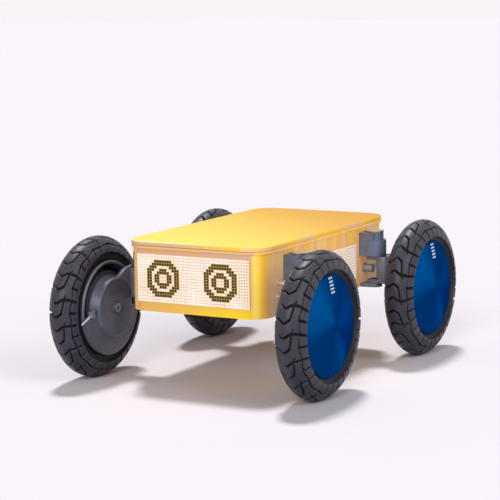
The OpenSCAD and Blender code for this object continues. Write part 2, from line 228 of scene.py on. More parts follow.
def make_lid_finish():
    """Yellow plastic with a pale side band and amber patches at its edge.
    Painted sheen makes it paler in front and deeper towards the back, a painted highlight runs
    along its rim and a painted glow lights the band on the +X side.
    """
    f = Finish("lid_yellow", roughness=0.42, specular_ior_level=0.05, emission_strength=0.2)
    at, x, y, z = f.place()
    cloud = f.noise(at, 3.0, 2.0)
    # painted sheen: paler towards the front, deeper towards the back and +X
    fade = (y + x * 0.6).step(-0.3, 0.32)
    colour = f.mix(fade, paint("FFDA5C"), paint("CC8E1C"))
    colour = f.mix(cloud * 0.2, colour, paint("FFD24E"))
    low = 1 - z.step(lid_high.z - 0.0024, lid_high.z - 0.0014)
    right = x.step(-0.06, 0.11)
    patch = f.noise(at, 11.0, 1.0).step(0.36, 0.48)
    band = f.mix(patch, paint("F2C696"), paint("FFC81C"))
    colour = f.mix(low * 0.85, colour, f.mix(right, paint("E2BC94"), band))
    # painted highlight along the rounded upper edge, softer on the +X side
    foot = z.step(lid_high.z - 0.0022, lid_high.z - 0.0014)
    edge = foot - z.step(lid_high.z - 0.0007, lid_high.z - 0.0001)
    bright = f.mix(right, paint("FFF8EC"), paint("F6DCB4"))
    colour = f.mix(edge * (0.9 - right * 0.5), colour, bright)
    # painted glow on the lower band of the +X side
    lit = f.mix(low * right * 0.8, BLACK, colour)
    relief = f.bump(f.noise(at, 1800.0, 1.0), 0.03, 0.0002)
    return f.feed(Base_Color=colour, Emission_Color=lit, Normal=relief)


def make_shell_finish():
    """Amber plastic: cloudy and banded upright, brighter where the corners bend as painted light,
    with painted shade towards -X and a painted glow that is weaker on the front and back.
    """
    f = Finish("shell_amber", roughness=0.3, specular_ior_level=0.15, coat_weight=0.08,
               coat_roughness=0.1, emission_strength=0.24)
    at, x, y, z = f.place()
    height = (z - shell_low.z) / (shell_high.z - shell_low.z)
    on_end = abs(y).step(half_l - 0.006, half_l - 0.001)
    on_side = abs(x).step(half_w - 0.006, half_w - 0.001)
    right = x.step(-0.1, 0.1)
    bands = f.noise(at, 30.0, 1.5, stretch=[1.0, 1.0, 0.02])
    fine = f.noise(at, 85.0, 1.0, stretch=[1.0, 1.0, 0.015])
    warm = f.noise(at, 26.0, 1.0, stretch=[1.0, 1.0, 0.3]).step(0.55, 0.72)

    front = f.mix(height.step(0.7, 0.98), paint("E2B468"), paint("DBB092"))
    # a yellow foot, brightest towards +X as painted light; painted shade darkens the front wall
    # towards -X
    front = f.mix((1 - height.step(0.02, 0.24)) * (0.4 + right * 0.6), front, paint("FFD80A"))
    front = f.mix((1 - right) * 0.4, front, paint("D89A62"))

    side = f.mix(height.step(0.4, 0.95), paint("E2B078"), paint("F4BE58"))
    side = f.mix(bands.step(0.42, 0.6) * 0.5, side, paint("ECCBAA"))
    side = f.mix(fine.step(0.5, 0.7) * 0.3, side, paint("DC9A50"))

    # painted light brightens the bends of the corners; on the -X side painted shade dims them
    bend = f.mix(bands.step(0.4, 0.58), paint("F6B82C"), paint("FBDC62"))
    bend = f.mix(fine.step(0.5, 0.68) * 0.45, bend, paint("E29C48"))
    shaded_bend = f.mix(bands.step(0.4, 0.6), paint("DC9A50"), paint("E8B98A"))
    bend = f.mix((1 - right) * 0.7, bend, shaded_bend)

    colour = f.mix(on_end, bend, front)
    colour = f.mix(on_side, colour, side)
    colour = f.mix(warm * 0.35, colour, paint("F2A22C"))
    colour = f.mix(height.step(0.955, 0.975) * 0.5, colour, paint("F4C87E"))
    # painted glow: the shell emits its own colour, less on the front and back walls
    lit = f.mix(1 - on_end * 0.55, BLACK, colour)
    relief = f.bump(f.noise(at, 900.0, 2.0), 0.03, 0.0003)
    return f.feed(Base_Color=colour, Emission_Color=lit, Normal=relief)


def make_board_finish():
    """The warm plate behind the dots of a display, with a faint painted glow."""
    f = Finish("display_backing", roughness=0.4, emission_strength=0.1)
    cloud = f.noise(f.where(), 22.0, 2.0)
    colour = f.mix(cloud.step(0.3, 0.7), paint("E2B06A"), paint("F0DABC"))
    return f.feed(Base_Color=colour, Emission_Color=colour)


def make_dot_finish(name, low, high, strength, spread):
    """A lit or unlit dot, a little uneven; strength is its glow."""
    f = Finish(name, roughness=0.5, specular_ior_level=0.3, emission_strength=strength)
    colour = f.mix(f.noise(f.where(), spread, 2.0), paint(low), paint(high))
    return f.feed(Base_Color=colour, Emission_Color=colour)


def make_tyre_finish():
    """Dusty black rubber, with painted shade darkest at the bottom of the grooves and at the beads.
    """
    f = Finish("tyre_rubber", specular_ior_level=0.42)
    at = f.where()
    groove = f.add("ShaderNodeAttribute", {"attribute_name": "groove"}, out="Fac")
    cloud = f.noise(at, 18.0, 4.0)
    dust = f.noise(at, 240.0, 3.0)
    colour = f.mix(cloud.step(0.3, 0.75), paint("26252F"), paint("33323E"))
    colour = f.mix(dust.step(0.45, 0.8) * 0.3, colour, paint("474754"))
    # painted shade: nearly black at the bottom of the grooves and on the beads
    colour = f.mix(groove.step(0.1, 0.7), colour, paint("060608"))
    rough = 0.34 + dust * 0.2 + groove * 0.3
    relief = f.bump(f.noise(at, 1500.0, 2.0), 0.25, 0.0004)
    return f.feed(Base_Color=colour, Roughness=rough, Normal=relief)


def make_cover_finish():
    """Spun metal under blue lacquer: fine rings round the axle and wedges of light across them."""
    f = Finish("cover_blue", metallic=0.7, roughness=0.45, anisotropic=0.6,
               specular_ior_level=0.0, specular_tint=paint("0060B0"))
    up, left = f.place()[1:3]
    reach = (up * up + left * left) ** 0.5 + 0.0005

    def wedge(degrees, narrow):
        """A lobe of light along one radius; degrees run from up towards the left."""
        turn = math.radians(degrees)
        along = (up * math.cos(turn) + left * math.sin(turn)) / reach
        return along.above(0.0) ** narrow

    # painted highlights and painted shade: bright and dark wedges across the rings, in the colour
    broad = wedge(48, 5.0) * 0.6 + wedge(-78, 7.0) * 0.4 + wedge(-152, 8.0) * 0.3
    thin = wedge(84, 40.0) * 0.2 + wedge(-6, 220.0) * 0.5
    thin = thin + wedge(-150, 90.0) * 0.5 + wedge(178, 220.0) * 0.4
    rings = (reach * 5200.0).sine()
    radial = f.add("ShaderNodeCombineXYZ", {}, reach, 0.0, 0.0)
    grain = f.noise(radial, 2600.0, 3.0)
    colour = f.mix(broad + thin, paint("003A6E"), paint("006EB2"))
    colour = f.mix(grain.step(0.3, 0.7) * 0.12, colour, paint("004E8C"))
    return f.feed(Base_Color=colour, Normal=f.bump(rings * 0.4 + grain, 0.12, 0.00006))


def make_paint_finish(name, dark, light, roughness=0.45):
    """Satin powder coat, cloudy and finely speckled."""
    f = Finish(name, metallic=0.25, coat_weight=0.15, coat_roughness=0.3)
    at = f.where()
    cloud = f.noise(at, 30.0, 4.0)
    speck = f.noise(at, 1100.0, 2.0)
    colour = f.mix(cloud.step(0.25, 0.8), paint(dark), paint(light))
    rough = roughness + (speck - 0.5) * 0.2
    return f.feed(Base_Color=colour, Roughness=rough, Normal=f.bump(speck, 0.12, 0.0003))


def make_metal_finish(name, dark, light, roughness=0.3, lay=1.0):
    """Turned or drawn metal with fine tool marks; a lay under 1 draws them out along X."""
    f = Finish(name, metallic=1.0)
    at = f.where()
    marks = f.noise(at, 700.0, 3.0, stretch=[lay, 1.0, 1.0])
    colour = f.mix(f.noise(at, 40.0, 3.0), paint(dark), paint(light))
    rough = roughness + marks * 0.15
    return f.feed(Base_Color=colour, Roughness=rough, Normal=f.bump(marks, 0.1, 0.0002))


def make_moulded_finish(name, dark, light, roughness=0.5):
    """Moulded plastic or rubber with a fine grain."""
    f = Finish(name, specular_ior_level=0.4)
    at = f.where()
    grain = f.noise(at, 1300.0, 3.0)
    colour = f.mix(f.noise(at, 25.0, 3.0), paint(dark), paint(light))
    rough = roughness + grain * 0.12
    return f.feed(Base_Color=colour, Roughness=rough, Normal=f.bump(grain, 0.2, 0.0003))


FINISHES = {
    "lid": make_lid_finish(),
    "shell": make_shell_finish(),
    "board": make_board_finish(),
    "lit_dot": make_dot_finish("dot_lit", "F0ECE6", "FAF6F0", 0.2, 60.0),
    "dark_dot": make_dot_finish("dot_dark", "0A0804", "1A1408", 0.0, 900.0),
    # the gaps round the dark eye dots are dimmer and also carry a faint painted glow
    "dim_board": make_dot_finish("dot_gap_dim", "94762A", "B89844", 0.1, 200.0),
    "tyre": make_tyre_finish(),
    "cover": make_cover_finish(),
    "housing": make_paint_finish("housing_grey", "5E667C", "747D95", 0.42),
    "knuckle": make_paint_finish("knuckle_grey", "646875", "7C808E", 0.46),
    "motor": make_paint_finish("motor_grey", "464956", "595C69", 0.46),
    "rim": make_paint_finish("rim_grey", "5C5E68", "74767F", 0.4),
    "cap": make_metal_finish("cap_bronze", "9C886E", "B2A087", 0.38),
    "steel": make_metal_finish("ground_steel", "A9A9B1", "D2D2D8", 0.25, 0.05),
    "bright": make_metal_finish("bright_steel", "DCDCE2", "F4F4F8", 0.2),
    "rod": make_paint_finish("rod_grey", "9C9CA8", "C4C4CE", 0.35),
    "nut": make_paint_finish("nut_grey", "6C6C78", "8C8C98", 0.38),
    "gland": make_paint_finish("gland_grey", "80828C", "9EA0AA", 0.45),
    "dark": make_moulded_finish("dark_moulding", "2E2E34", "3C3C44"),
    "seal": make_moulded_finish("seal_rubber", "5A3F22", "6E5130", 0.7),
    "winding": make_moulded_finish("motor_winding", "2C2C36", "40404C", 0.6),
    "circuit": make_moulded_finish("circuit_green", "154A30", "1F6342", 0.4),
    # the white marks glow faintly: painted glow
    "mark": make_dot_finish("mark_white", "DCDCD6", "EEEEEA", 0.1, 90.0),
}


# ---- mesh helpers ----

def add_piece(name, verts, faces, body, replaced=(), smooth=True, place=None):
    """A mesh from points and faces, put in place and riding on a body."""
    mesh = bpy.data.meshes.new(name)
    mesh.from_pydata([tuple(v) for v in verts], [], [tuple(f) for f in faces])
    mesh.update()
    for polygon in mesh.polygons:
        polygon.use_smooth = smooth
    obj = bpy.data.objects.new(name, mesh)
    bpy.context.scene.collection.objects.link(obj)
    if place is not None:
        obj.matrix_world = place
    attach(obj, body)
    if replaced:
        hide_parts(*replaced)
    return obj


def sharpen(obj, degrees=32):
    """Keeps hard edges hard on a smooth-shaded mesh."""
    mesh = bmesh.new()
    mesh.from_mesh(obj.data)
    bmesh.ops.recalc_face_normals(mesh, faces=mesh.faces)
    for edge in mesh.edges:
        if len(edge.link_faces) == 2 and edge.calc_face_angle(0) > math.radians(degrees):
            edge.smooth = False
    mesh.to_mesh(obj.data)
    mesh.free()
    return obj


def soften_edges(obj, width):
    """A small rounding on a carried-over solid's sharp edges."""
    weld = obj.modifiers.new("weld", "WELD")
    weld.merge_threshold = 0.00001
    bevel = obj.modifiers.new("edge_round", "BEVEL")
    bevel.width = width
    bevel.segments = 3
    bevel.limit_method = "ANGLE"
    bevel.angle_limit = math.radians(40)
    bevel.harden_normals = True


def rounded_path(half_x, half_y, radius, steps):
    """Points and outward normals round a rectangle with round corners, anticlockwise."""
    path = []
    for turn, (sx, sy) in enumerate([(1, 1), (-1, 1), (-1, -1), (1, -1)]):
        for step in range(steps + 1):
            angle = math.pi / 2 * (turn + step / steps)
            out = Vector((math.cos(angle), math.sin(angle)))
            centre = Vector((sx * (half_x - radius), sy * (half_y - radius)))
            path.append((centre + out * radius, out))
    return path


def sweep_round(path, profile):
    """Carries a profile of (outward, up) points round a path and closes it flat at both ends."""
    verts, faces = [], []
    for point, out in path:
        for reach, height in profile:
            at = point + out * reach
            verts.append((at.x, at.y, height))
    rows, count = len(profile), len(path)
    for i in range(count):
        j = (i + 1) % count
        for k in range(rows - 1):
            faces.append((i * rows + k, j * rows + k, j * rows + k + 1, i * rows + k + 1))
    faces.append([i * rows for i in range(count)][::-1])
    faces.append([i * rows + rows - 1 for i in range(count)])
    return verts, faces


def quarter(centre_x, centre_z, radius, start, end, steps):
    """Arc points of a profile, angles in degrees."""
    points = []
    for step in range(steps + 1):
        angle = math.radians(start + (end - start) * step / steps)
        points.append((centre_x + radius * math.cos(angle), centre_z + radius * math.sin(angle)))
    return points


# ---- body ----

LID_EDGE = 0.003                       # rounding of the lid's upper edge
LID_LIP = 0.001                        # and of its lower edge


def make_lid():
    """A flat lid with a rounded edge, lying on the rim band."""
    top, low = lid_high.z, lid_low.z
    profile = [(-0.01, low), (RIM_OUT - LID_LIP, low)]
    profile += quarter(RIM_OUT - LID_LIP, low + LID_LIP, LID_LIP, -90, 0, 3)[1:]
    profile += quarter(RIM_OUT - LID_EDGE, top - LID_EDGE, LID_EDGE, 0, 90, 8)
    profile += [(-0.006, top), (-0.03, top)]
    verts, faces = sweep_round(rounded_path(half_w, half_l, CORNER_R, 24), profile)
    obj = add_piece("lid_cover", verts, faces, "chassis", ["lid"])
    dress(sharpen(obj, 60), FINISHES["lid"])


# ---- displays ----

PITCH = 0.005
DOT = 0.0035
BOARD_MARGIN = 0.0006
BOARD, LIT, DARK, GAP = range(4)       # the finishes of a display, in the order of its slots
# depths outside the wall: back, front, and how much the front edge is cut off
BOARD_DEPTHS = (-0.0015, 0.00025, 0.0001)
DOT_DEPTHS = (0.0002, 0.0007, 0.00012)
GAP_DEPTHS = (0.0002, 0.00034, 0.00002)
FRONT_GRID = (45, 17)
SIDE_GRID = (46, 13)
EYES = (10.0, 33.0)                    # middle columns of the two eyes


def eye_ring(column, row):
    """Dark dots of a plain ringed target: an outer and an inner ring."""
    x, y = abs(column), abs(row)
    outer = max(x, y) <= 6 and x + y <= 9 and (max(x, y) >= 5 or x + y >= 7)
    inner = max(x, y) <= 3 and x + y <= 4 and max(x, y) >= 2
    return outer or inner


def make_display(name, node, grid, turn, reach, low_z, eyes=()):
    """A backing plate and its dots, drawn facing -Y and turned about Z to its wall."""
    columns, rows = grid
    wide = columns * PITCH - (PITCH - DOT)
    high = rows * PITCH - (PITCH - DOT)
    middle = (rows - 1) / 2
    spin = Matrix.Rotation(turn, 4, "Z")
    verts, faces, kinds = [], [], []

    def block(x0, z0, across, up, depths, kind):
        """A flat block with its front edges cut off."""
        back, front, chamfer = depths
        base = len(verts)
        for depth, inset in ((back, 0.0), (front - chamfer, 0.0), (front, chamfer)):
            left, right = x0 + inset, x0 + across - inset
            low, top = z0 + inset, z0 + up - inset
            for x, z in ((left, low), (right, low), (right, top), (left, top)):
                verts.append(spin @ Vector((x, -reach - depth, z)))
        for ring in range(2):
            for k in range(4):
                a, b = base + ring * 4 + k, base + ring * 4 + (k + 1) % 4
                faces.append((a, b, b + 4, a + 4))
        faces.append((base + 8, base + 9, base + 10, base + 11))
        faces.append((base + 3, base + 2, base + 1, base))
        kinds.extend([kind] * 10)

    places = [(column, row, column * PITCH - wide / 2, low_z + row * PITCH)
              for column in range(columns) for row in range(rows)]
    block(-wide / 2 - BOARD_MARGIN, low_z - BOARD_MARGIN, wide + 2 * BOARD_MARGIN,
          high + 2 * BOARD_MARGIN, BOARD_DEPTHS, BOARD)
    for column, row, x, z in places:
        dark = any(eye_ring(column - eye, row - middle) for eye in eyes)
        block(x, z, DOT, DOT, DOT_DEPTHS, DARK if dark else LIT)
    grow = (PITCH - DOT) / 2 - 0.00002
    for eye in eyes:
        for column, row, x, z in places:
            if eye_ring(column - eye, row - middle):
                block(x - grow, z - grow, DOT + 2 * grow, DOT + 2 * grow, GAP_DEPTHS, GAP)
    obj = add_piece(name, verts, faces, "chassis", [node], smooth=False)
    dress(obj, *(FINISHES[key] for key in ("board", "lit_dot", "dark_dot", "dim_board")))
    for polygon, kind in zip(obj.data.polygons, kinds):
        polygon.material_index = kind


# ---- tyres ----

SECTION_HIGH = 0.0365                  # half height of the tread's round section
SECTION_R = tyre_r - SECTION_HIGH      # and the radius of its middle
SECTION_STEPS = 88
SECTION_ARC = (166, 11)                # degrees, from the inner shoulder over the crown
TREADS = 16
STEPS_PER_TREAD = 46
GROOVE_DEEP = 0.006
WALL = 0.9                             # width of a groove's sloping wall, in millimetres
OUTER_STOP, INNER_STOP, FADE = 44.5, 40.5, 1.5     # where the grooves end, in millimetres
# (outward, radius) in millimetres, and how much painted shade each point takes
INNER_BEAD = [(-20.0, 82.2), (-21.8, 88.0), (-22.0, 92.5), (-22.2, 96.5), (-23.0, 98.5),
              (-26.2, 99.2)]
OUTER_BEAD = [(28.3, 97.2), (27.2, 96.6), (23.5, 96.2), (20.5, 95.8), (19.8, 94.0), (19.6, 82.6)]
INNER_SHADE = [0.8, 0.8, 0.8, 0.8, 0.8, 0.4]
OUTER_SHADE = [0.0, 0.0, 0.3, 0.6, 0.7, 0.8]

# grooves of one pitch on the outer half of the tread, in millimetres: a width, how deep from 0
# to 1, and points (across from the middle, round the tyre). The inner half repeats them half a
# pitch further on, mirrored.
GROOVES = [
    (3.4, 1.0, [(-1, 0), (1, 0), (7, 4.2), (12, 7.2)]),
    (4.4, 1.0, [(12, 7.2), (25, 7.6), (38, 5), (56, 0)]),
    (3.2, 1.0, [(-1, -25), (1, -25), (7, -21.2), (10, -18.5)]),
    (4.6, 1.0, [(27, -17.5), (40, -19), (56, -22)]),
    (2.0, 0.8, [(10, -18.5), (13, -6), (14, 7)]),
    (2.2, 0.8, [(27, -17.5), (28, -5), (30, 6)]),
    (1.8, 0.7, [(30, 6), (29, 18), (27, 32.5)]),
    (1.8, 0.6, [(14, 7), (17, 15)]),
]


def tyre_profile():
    """The tyre's section from bead to bead: (outward, radius, way from the crown, shade)."""
    start, end = (math.radians(degrees) for degrees in SECTION_ARC)
    arc = []
    for step in range(SECTION_STEPS + 1):
        angle = start + (end - start) * step / SECTION_STEPS
        arc.append((tyre_half * math.cos(angle), SECTION_R + SECTION_HIGH * math.sin(angle)))
    points = mm(INNER_BEAD) + arc + mm(OUTER_BEAD)
    shade = INNER_SHADE + [0.0] * len(arc) + OUTER_SHADE
    lengths = [0.0]
    for (x0, r0), (x1, r1) in zip(points, points[1:]):
        lengths.append(lengths[-1] + math.hypot(x1 - x0, r1 - r0))
    crown = lengths[max(range(len(points)), key=lambda i: points[i][1])]
    return [(x, r, along - crown, dark) for (x, r), along, dark in zip(points, lengths, shade)]


def groove_depth(across, around, period):
    """0 on a tread block and 1 at the bottom of a groove, for places in millimetres."""
    deep = np.zeros_like(across)
    for side in (1, -1):
        offset = 0.0 if side > 0 else period / 2
        for width, full, points in GROOVES:
            for (u0, s0), (u1, s1) in zip(points, points[1:]):
                for lap in (-1, 0, 1):
                    du, ds = u1 - u0, s1 - s0
                    pu = across * side - u0
                    ps = around - offset - s0 - lap * period
                    part = np.clip((pu * du + ps * ds) / (du * du + ds * ds), 0, 1)
                    gap = np.hypot(pu - part * du, ps - part * ds)
                    wall = np.clip((width / 2 + WALL / 2 - gap) / WALL, 0, 1)
                    deep = np.maximum(deep, full * wall)
    return deep


def make_tyre_mesh(name, sx, sy):
    """A treaded tyre in place at its corner. It keeps, for the finish, how deep each point lies,
    raised to the painted shade of the beads where that is greater.
    """
    out, rad, along, shade = np.array(tyre_profile()).T
    along = along * 1000
    count, rounds = len(out), TREADS * STEPS_PER_TREAD
    period = 2 * math.pi * tyre_r * 1000 / TREADS
    angle = np.linspace(0, 2 * math.pi, rounds, endpoint=False)
    across, around = np.meshgrid(along, (angle * tyre_r * 1000) % period)
    deep = groove_depth(across, around, period)
    outer = np.clip((across - OUTER_STOP) / FADE, 0, 1)
    inner = np.clip((-across - INNER_STOP) / FADE, 0, 1)
    deep = deep * (1 - np.maximum(outer, inner))
    shaded = np.maximum(deep, shade[None, :])
    rise, run = np.gradient(rad, along), np.gradient(out, along)
    length = np.maximum(np.hypot(rise, run), 1e-9)
    sink = GROOVE_DEEP * deep
    xs = out[None, :] + sink * (rise / length)[None, :]
    rs = rad[None, :] - sink * np.abs(run / length)[None, :]
    ys = rs * np.cos(angle)[:, None]
    zs = rs * np.sin(angle)[:, None]
    verts = np.stack([sx * (wheel_x + xs), sy * (axle_y + ys), axle_z + zs], axis=-1)
    i, k = np.arange(rounds)[:, None], np.arange(count)[None, :]
    j, m = (i + 1) % rounds, (k + 1) % count
    quads = np.stack([i * count + k, j * count + k, j * count + m, i * count + m], axis=-1)
    quads = quads.reshape(-1, 4)
    if sx * sy < 0:
        quads = quads[:, ::-1]
    mesh = bpy.data.meshes.new(name)
    mesh.from_pydata(verts.reshape(-1, 3).tolist(), [], quads.tolist())
    mesh.update()
    mesh.polygons.foreach_set("use_smooth", [True] * len(mesh.polygons))
    kept = mesh.attributes.new("groove", "FLOAT", "POINT")
    kept.data.foreach_set("value", shaded.reshape(-1).astype(np.float32))
    return mesh


def make_tyre(corner, sx, sy):
    name = "tread_" + corner
    obj = bpy.data.objects.new(name, make_tyre_mesh(name, sx, sy))
    bpy.context.scene.collection.objects.link(obj)
    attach(obj, "wheel_" + corner)
    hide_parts("tyre_" + corner)
    dress(obj, FINISHES["tyre"])


# ---- wheel covers ----

COVER_EDGE = 0.0220                    # edge of a cover's dome outside the wheel's middle plane
COVER_RISE = 0.010
COVER_THICK = 0.0019
COVER_ROUND = 0.0006                   # how much its edge is cut off
COVER_RINGS = 41
MARK_ROWS, MARKS = 5, 3                # short rows of white dots along one radius
MARK = 0.0029
MARK_START, MARK_STEP = 0.0570, 0.0060
MARK_SIDE, MARK_NEXT = -0.0080, 0.0046
MARK_LEAN = 3                          # degrees
MARK_LIFTS = (-0.0002, 0.0003)         # back and front of a dot from the dome


def wheel_axes(sx, sy):
    """Axes at a wheel's middle: Z outwards along the axle, X up, Y to the left from outside."""
    axes = Matrix(((0, 0, sx), (0, -sx, 0), (1, 0, 0))).to_4x4()
    return Matrix.Translation((sx * wheel_x, sy * axle_y, axle_z)) @ axes


def lathe(profile, steps):
    """Turns a profile of (radius, height) round Z and closes both ends flat."""
    verts, faces = [], []
    for radius, height in profile:
        for step in range(steps):
            angle = 2 * math.pi * step / steps
            verts.append((radius * math.cos(angle), radius * math.sin(angle), height))
    for ring in range(len(profile) - 1):
        for step in range(steps):
            a, b = ring * steps + step, ring * steps + (step + 1) % steps
            faces.append((a, b, b + steps, a + steps))
    faces.append([len(verts) - steps + step for step in range(steps)])
    faces.append([steps - 1 - step for step in range(steps)])
    return verts, faces


def make_wheel_cover(corner, sx, sy):
    """The domed disc over a wheel, and the dots on it."""
    node = "wheel_cover_" + corner
    radius = (near(node, 1).z - near(node, 0).z) / 2
    ball = (radius ** 2 + COVER_RISE ** 2) / (2 * COVER_RISE)

    def dome(reach):
        """How far out the dome lies at a distance from the axle."""
        return COVER_EDGE + COVER_RISE - ball + math.sqrt(ball ** 2 - reach ** 2)

    back = COVER_EDGE - COVER_THICK
    profile = [(radius * 0.93, back), (radius - COVER_ROUND, back), (radius, back + COVER_ROUND),
               (radius, COVER_EDGE - COVER_ROUND)]
    for step in range(1, COVER_RINGS):
        reach = (radius - COVER_ROUND) * (1 - step / COVER_RINGS)
        profile.append((reach, dome(reach)))
    place = wheel_axes(sx, sy)
    verts, faces = lathe(profile, 128)
    obj = add_piece("spun_cover_" + corner, verts, faces, "wheel_" + corner, [node],
                    place=place)
    dress(sharpen(obj, 40), FINISHES["cover"])

    tilted = place @ Matrix.Rotation(math.radians(MARK_LEAN), 4, "Z")
    verts, faces = [], []
    for row in range(MARK_ROWS):
        for dot in range(MARKS):
            base = len(verts)
            x0, y0 = MARK_START + row * MARK_STEP, MARK_SIDE + dot * MARK_NEXT
            x1, y1 = x0 + MARK, y0 + MARK
            for lift in MARK_LIFTS:
                for x, y in ((x0, y0), (x1, y0), (x1, y1), (x0, y1)):
                    verts.append(tilted @ Vector((x, y, dome(math.hypot(x, y)) + lift)))
            for k in range(4):
                m = (k + 1) % 4
                faces.append((base + k, base + m, base + m + 4, base + k + 4))
            faces.append((base + 4, base + 5, base + 6, base + 7))
            faces.append((base + 3, base + 2, base + 1, base))
    obj = add_piece("cover_marks_" + corner, verts, faces, "wheel_" + corner,
                    smooth=False)
    dress(obj, FINISHES["mark"])


# ---- knuckles ----

KINGPIN = (0.1585, 0.148, 0)           # steering axis and the post beside it
POST = (0.178, 0.148, 0)
EAR_REACH = POST[0] - KINGPIN[0]
EARS = [(0.0135, 0.1418, 0.1488), (0.0145, 0.1857, 0.1927)]    # round end, then low and high
EAR_ROUND = 0.0012
BLOCK_R = 0.069                        # the small fitting's distance from the axle
BLOCK_TURN, ROD_TURN, ROD_LEAN = -1, -28, 81     # degrees
ROD_FOOT = (0.001, 0, 0.1868)
PLATE_SWEEP = (-176, -4)
NECK_SLAB = (0.1838, 0.1925, 0.0028)   # low, high and rounding of a flat part
BLOCK_SLAB = (0.1846, 0.1935, 0.0016)
FACE_EDGE = (0.0495, 0.1860, 0.0040)   # middle and radius of the rounding round the motor's face
SHARP = 38                             # degrees from which an edge stays hard
# outlines in millimetres: (radius, height) of turned parts, (out, up) of the neck
BARREL = [(13.0, 141.8), (14.1, 142.3), (14.5, 143.2), (14.5, 191.3), (14.1, 192.2), (13.0, 192.7)]
NECK = [(142, 192), (158, 192.6), (172, 190.5), (184, 184), (196, 178), (212, 171), (216, 155),
        (204, 144), (186, 142), (164, 142), (142, 142), (139, 166)]
HUB = [(9.4, 182.6), (9.6, 180.9), (10.2, 180.5), (11.2, 180.6), (11.8, 181.4), (12.2, 182.2),
       (13.0, 182.0)]
BACK = [(54.4, 188.4), (57.0, 194.0), (59.0, 198.2), (60, 200), (60, 203)]
PLATE = [(53, 187.8), (57, 188.6), (64, 189.6), (74, 190.6), (82, 191.4), (84.8, 191.9),
         (85.8, 192.8), (85.9, 193.8), (85.2, 194.8), (53, 195)]
BLOCK = [(-6.5, -7), (6, -6), (6.5, 5), (-5, 7.5)]
ROD = [(1.9, 0), (1.9, 9), (2.3, 9.6), (2.3, 12), (1.9, 12.6), (1.9, 29), (1.3, 30.2), (0.4, 30.6)]


def mm(points):
    return [(a / 1000, b / 1000) for a, b in points]


def join_shells(shells):
    """Several point and face lists as one."""
    verts, faces = [], []
    for points, loops in shells:
        base = len(verts)
        verts += [tuple(point) for point in points]
        faces += [tuple(base + i for i in loop) for loop in loops]
    return verts, faces


def turned(profile, steps, place):
    """A closed solid turned from (radius, height) points, in place."""
    verts, faces = lathe(profile, steps)
    return [place @ Vector(v) for v in verts], faces


def loft(rings, place):
    """Closed rings of the same number of points, joined one to the next and capped."""
    count = len(rings[0])
    verts = [place @ Vector(point) for ring in rings for point in ring]
    faces = []
    for a in range(len(rings) - 1):
        low, high = a * count, (a + 1) * count
        for i in range(count):
            j = (i + 1) % count
            faces.append((low + i, low + j, high + j, high + i))
    faces.append(list(range(count))[::-1])
    faces.append([(len(rings) - 1) * count + i for i in range(count)])
    return verts, faces


def slab(outline, low, high, rounding, place, steps=4):
    """A flat outline given thickness along Z, its edges rounded inwards."""
    ring = [Vector(p) for p in outline]
    normals = []
    for i in range(len(ring)):
        ahead = ring[(i + 1) % len(ring)] - ring[i - 1]
        normals.append(Vector((ahead.y, -ahead.x)).normalized())
    angles = [math.pi / 2 * step / steps for step in range(steps + 1)]
    levels = [(rounding * (1 - math.sin(a)), low + rounding * (1 - math.cos(a))) for a in angles]
    levels += [(rounding * (1 - math.cos(a)), high - rounding * (1 - math.sin(a))) for a in angles]
    rings = []
    for inset, height in levels:
        flat = [point - normal * inset for point, normal in zip(ring, normals)]
        rings.append([(at.x, at.y, height) for at in flat])
    return loft(rings, place)


def swept_part(profile, start, end, steps, place):
    """A closed (radius, height) outline turned through part of a circle, with flat ends."""
    rings = []
    for step in range(steps + 1):
        angle = math.radians(start + (end - start) * step / steps)
        rings.append([(radius * math.cos(angle), radius * math.sin(angle), height)
                      for radius, height in profile])
    return loft(rings, place)


def smooth_outline(points, steps=6):
    """A closed curve through points given in millimetres, in metres."""
    count = len(points)
    curve = []
    for i in range(count):
        p0, p1, p2, p3 = (Vector(points[(i + k - 1) % count]) / 1000 for k in range(4))
        for step in range(steps):
            t = step / steps
            curve.append(0.5 * ((2 * p1) + (p2 - p0) * t + (2 * p0 - 5 * p1 + 4 * p2 - p3) * t * t
                                + (3 * p1 - p0 - 3 * p2 + p3) * t ** 3))
    return curve


def stadium(length, near_r, far_r, steps=16):
    """A round-ended outline along X from 0 to length."""
    outline = []
    for step in range(steps + 1):
        angle = math.radians(90 + 180 * step / steps)
        outline.append((near_r * math.cos(angle), near_r * math.sin(angle)))
    for step in range(steps + 1):
        angle = math.radians(-90 + 180 * step / steps)
        outline.append((length + far_r * math.cos(angle), far_r * math.sin(angle)))
    return outline


